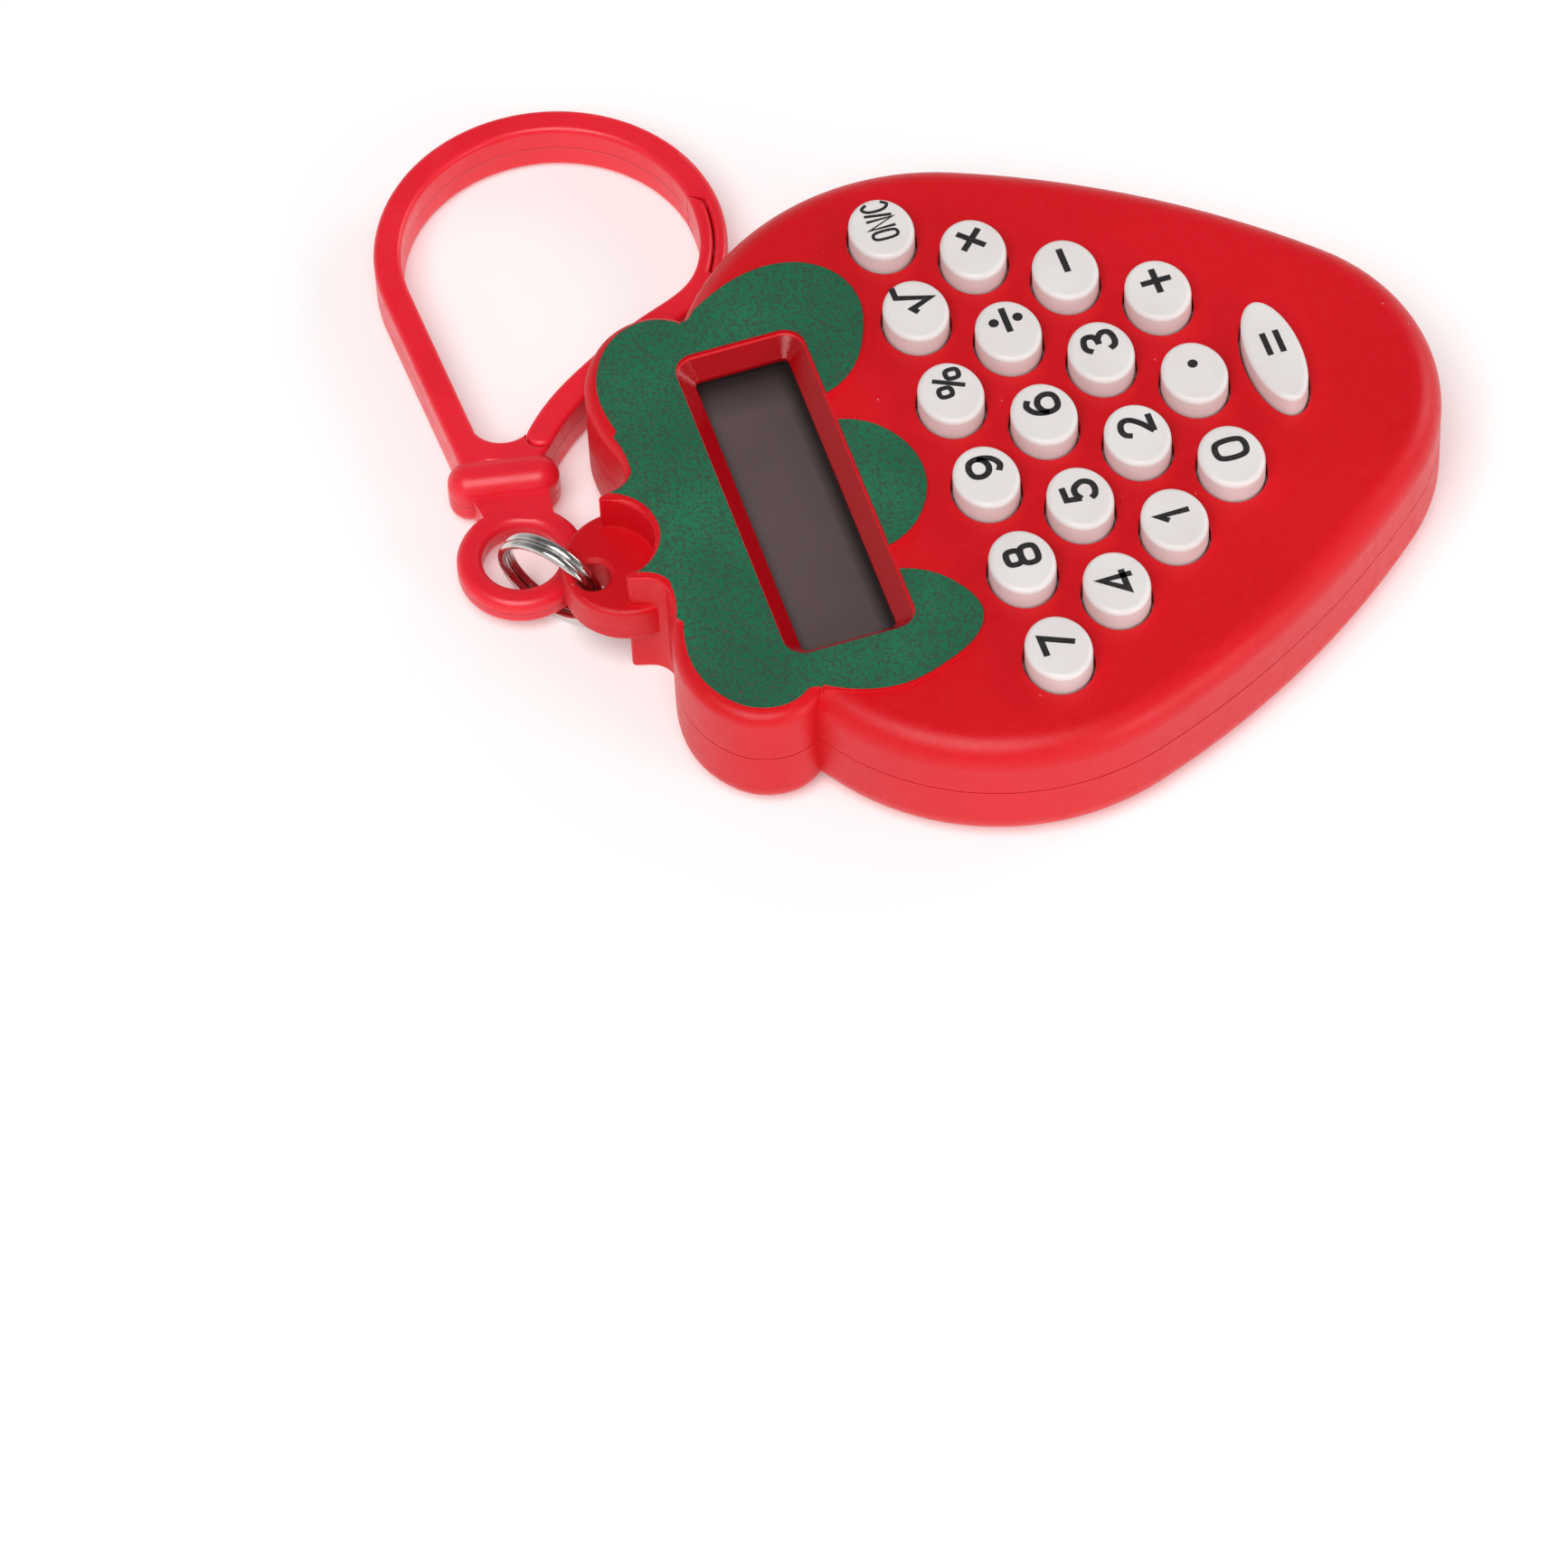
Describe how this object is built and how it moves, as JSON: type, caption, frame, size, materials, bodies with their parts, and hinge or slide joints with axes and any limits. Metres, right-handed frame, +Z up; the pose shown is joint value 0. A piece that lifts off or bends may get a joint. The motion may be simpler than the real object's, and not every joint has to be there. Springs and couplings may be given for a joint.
{
  "type": "pocket calculator with key-chain clip",
  "caption": "Fruit-shaped pocket calculator with staggered rubber-backed keys, a small display, and a snap clip on a split ring.",
  "frame": {"origin": "on the flat back face of the case, in the middle of its width", "axes": "+X to the right across the rows of keys, +Y towards the lug, +Z up out of the key face"},
  "size_m": [0.0775, 0.0758, 0.0128],
  "materials": {
    "red_case": "fine-grained moulded texture",
    "green_foil": "stamped foil print with a stipple",
    "clear_plastic": "clear polished",
    "lcd_glass": "dark grey-brown display glass",
    "pink_elastomer": "matte",
    "board_green": "solder mask",
    "black_resin": "smooth drop",
    "cell_steel": "brushed",
    "spring_steel": "bright strip",
    "grey_rubber": "matte",
    "screw_steel": "zinc plated",
    "ring_chrome": "polished plating",
    "clip_red": "smooth, a little translucent",
    "key_white": "satin"
  },
  "bodies": {
    "case": {"front_cover": "red_case", "back_cover": "red_case", "leaf_foil": "green_foil", "display_window": "clear_plastic", "lcd_panel": "lcd_glass", "zebra_connector": "pink_elastomer", "circuit_board": "board_green", "chip_blob": "black_resin", "button_cell": "cell_steel", "battery_contact_positive": "spring_steel", "battery_contact_negative": "spring_steel", "rubber_keypad": "grey_rubber", "battery_cover": "red_case", "battery_cover_screw": "screw_steel", "case_screws": "screw_steel"},
    "ring": {"split_ring": "ring_chrome"},
    "clip": {"clip_frame": "clip_red"},
    "gate": {"clip_gate": "clip_red"},
    "key_7": {"key_7": "key_white"},
    "key_8": {"key_8": "key_white"},
    "key_9": {"key_9": "key_white"},
    "key_percent": {"key_percent": "key_white"},
    "key_root": {"key_root": "key_white"},
    "key_on_clear": {"key_on_clear": "key_white"},
    "key_4": {"key_4": "key_white"},
    "key_5": {"key_5": "key_white"},
    "key_6": {"key_6": "key_white"},
    "key_divide": {"key_divide": "key_white"},
    "key_multiply": {"key_multiply": "key_white"},
    "key_1": {"key_1": "key_white"},
    "key_2": {"key_2": "key_white"},
    "key_3": {"key_3": "key_white"},
    "key_minus": {"key_minus": "key_white"},
    "key_0": {"key_0": "key_white"},
    "key_point": {"key_point": "key_white"},
    "key_plus": {"key_plus": "key_white"},
    "key_equals": {"key_equals": "key_white"}
  },
  "joints": [
    {"name": "ring_swing", "type": "hinge", "parent": "case", "child": "ring", "pos_m": [0.0003, 0.035, 0.006], "axis": [0, 0, 1], "range_deg": [0, 110]},
    {"name": "clip_swing", "type": "hinge", "parent": "ring", "child": "clip", "pos_m": [0.007, 0.0389, 0.0024], "axis": [0, 0, 1], "range_deg": [0, 80]},
    {"name": "gate_flex", "type": "hinge", "parent": "clip", "child": "gate", "pos_m": [0.01699, 0.03424, 0.0024], "axis": [0, 0, 1], "range_deg": [0, 14], "stiffness_Nm_per_rad": 0.02},
    {"name": "press_7", "type": "slide", "parent": "case", "child": "key_7", "axis": [0, 0, -1], "range_m": [0, 0.0009], "stiffness_N_per_m": 250, "deforming": ["rubber_keypad"]},
    {"name": "press_8", "type": "slide", "parent": "case", "child": "key_8", "axis": [0, 0, -1], "range_m": [0, 0.0009], "stiffness_N_per_m": 250, "deforming": ["rubber_keypad"]},
    {"name": "press_9", "type": "slide", "parent": "case", "child": "key_9", "axis": [0, 0, -1], "range_m": [0, 0.0009], "stiffness_N_per_m": 250, "deforming": ["rubber_keypad"]},
    {"name": "press_percent", "type": "slide", "parent": "case", "child": "key_percent", "axis": [0, 0, -1], "range_m": [0, 0.0009], "stiffness_N_per_m": 250, "deforming": ["rubber_keypad"]},
    {"name": "press_root", "type": "slide", "parent": "case", "child": "key_root", "axis": [0, 0, -1], "range_m": [0, 0.0009], "stiffness_N_per_m": 250, "deforming": ["rubber_keypad"]},
    {"name": "press_on_clear", "type": "slide", "parent": "case", "child": "key_on_clear", "axis": [0, 0, -1], "range_m": [0, 0.0009], "stiffness_N_per_m": 250, "deforming": ["rubber_keypad"]},
    {"name": "press_4", "type": "slide", "parent": "case", "child": "key_4", "axis": [0, 0, -1], "range_m": [0, 0.0009], "stiffness_N_per_m": 250, "deforming": ["rubber_keypad"]},
    {"name": "press_5", "type": "slide", "parent": "case", "child": "key_5", "axis": [0, 0, -1], "range_m": [0, 0.0009], "stiffness_N_per_m": 250, "deforming": ["rubber_keypad"]},
    {"name": "press_6", "type": "slide", "parent": "case", "child": "key_6", "axis": [0, 0, -1], "range_m": [0, 0.0009], "stiffness_N_per_m": 250, "deforming": ["rubber_keypad"]},
    {"name": "press_divide", "type": "slide", "parent": "case", "child": "key_divide", "axis": [0, 0, -1], "range_m": [0, 0.0009], "stiffness_N_per_m": 250, "deforming": ["rubber_keypad"]},
    {"name": "press_multiply", "type": "slide", "parent": "case", "child": "key_multiply", "axis": [0, 0, -1], "range_m": [0, 0.0009], "stiffness_N_per_m": 250, "deforming": ["rubber_keypad"]},
    {"name": "press_1", "type": "slide", "parent": "case", "child": "key_1", "axis": [0, 0, -1], "range_m": [0, 0.0009], "stiffness_N_per_m": 250, "deforming": ["rubber_keypad"]},
    {"name": "press_2", "type": "slide", "parent": "case", "child": "key_2", "axis": [0, 0, -1], "range_m": [0, 0.0009], "stiffness_N_per_m": 250, "deforming": ["rubber_keypad"]},
    {"name": "press_3", "type": "slide", "parent": "case", "child": "key_3", "axis": [0, 0, -1], "range_m": [0, 0.0009], "stiffness_N_per_m": 250, "deforming": ["rubber_keypad"]},
    {"name": "press_minus", "type": "slide", "parent": "case", "child": "key_minus", "axis": [0, 0, -1], "range_m": [0, 0.0009], "stiffness_N_per_m": 250, "deforming": ["rubber_keypad"]},
    {"name": "press_0", "type": "slide", "parent": "case", "child": "key_0", "axis": [0, 0, -1], "range_m": [0, 0.0009], "stiffness_N_per_m": 250, "deforming": ["rubber_keypad"]},
    {"name": "press_point", "type": "slide", "parent": "case", "child": "key_point", "axis": [0, 0, -1], "range_m": [0, 0.0009], "stiffness_N_per_m": 250, "deforming": ["rubber_keypad"]},
    {"name": "press_plus", "type": "slide", "parent": "case", "child": "key_plus", "axis": [0, 0, -1], "range_m": [0, 0.0009], "stiffness_N_per_m": 250, "deforming": ["rubber_keypad"]},
    {"name": "press_equals", "type": "slide", "parent": "case", "child": "key_equals", "axis": [0, 0, -1], "range_m": [0, 0.0009], "stiffness_N_per_m": 250, "deforming": ["rubber_keypad"]}
  ]
}
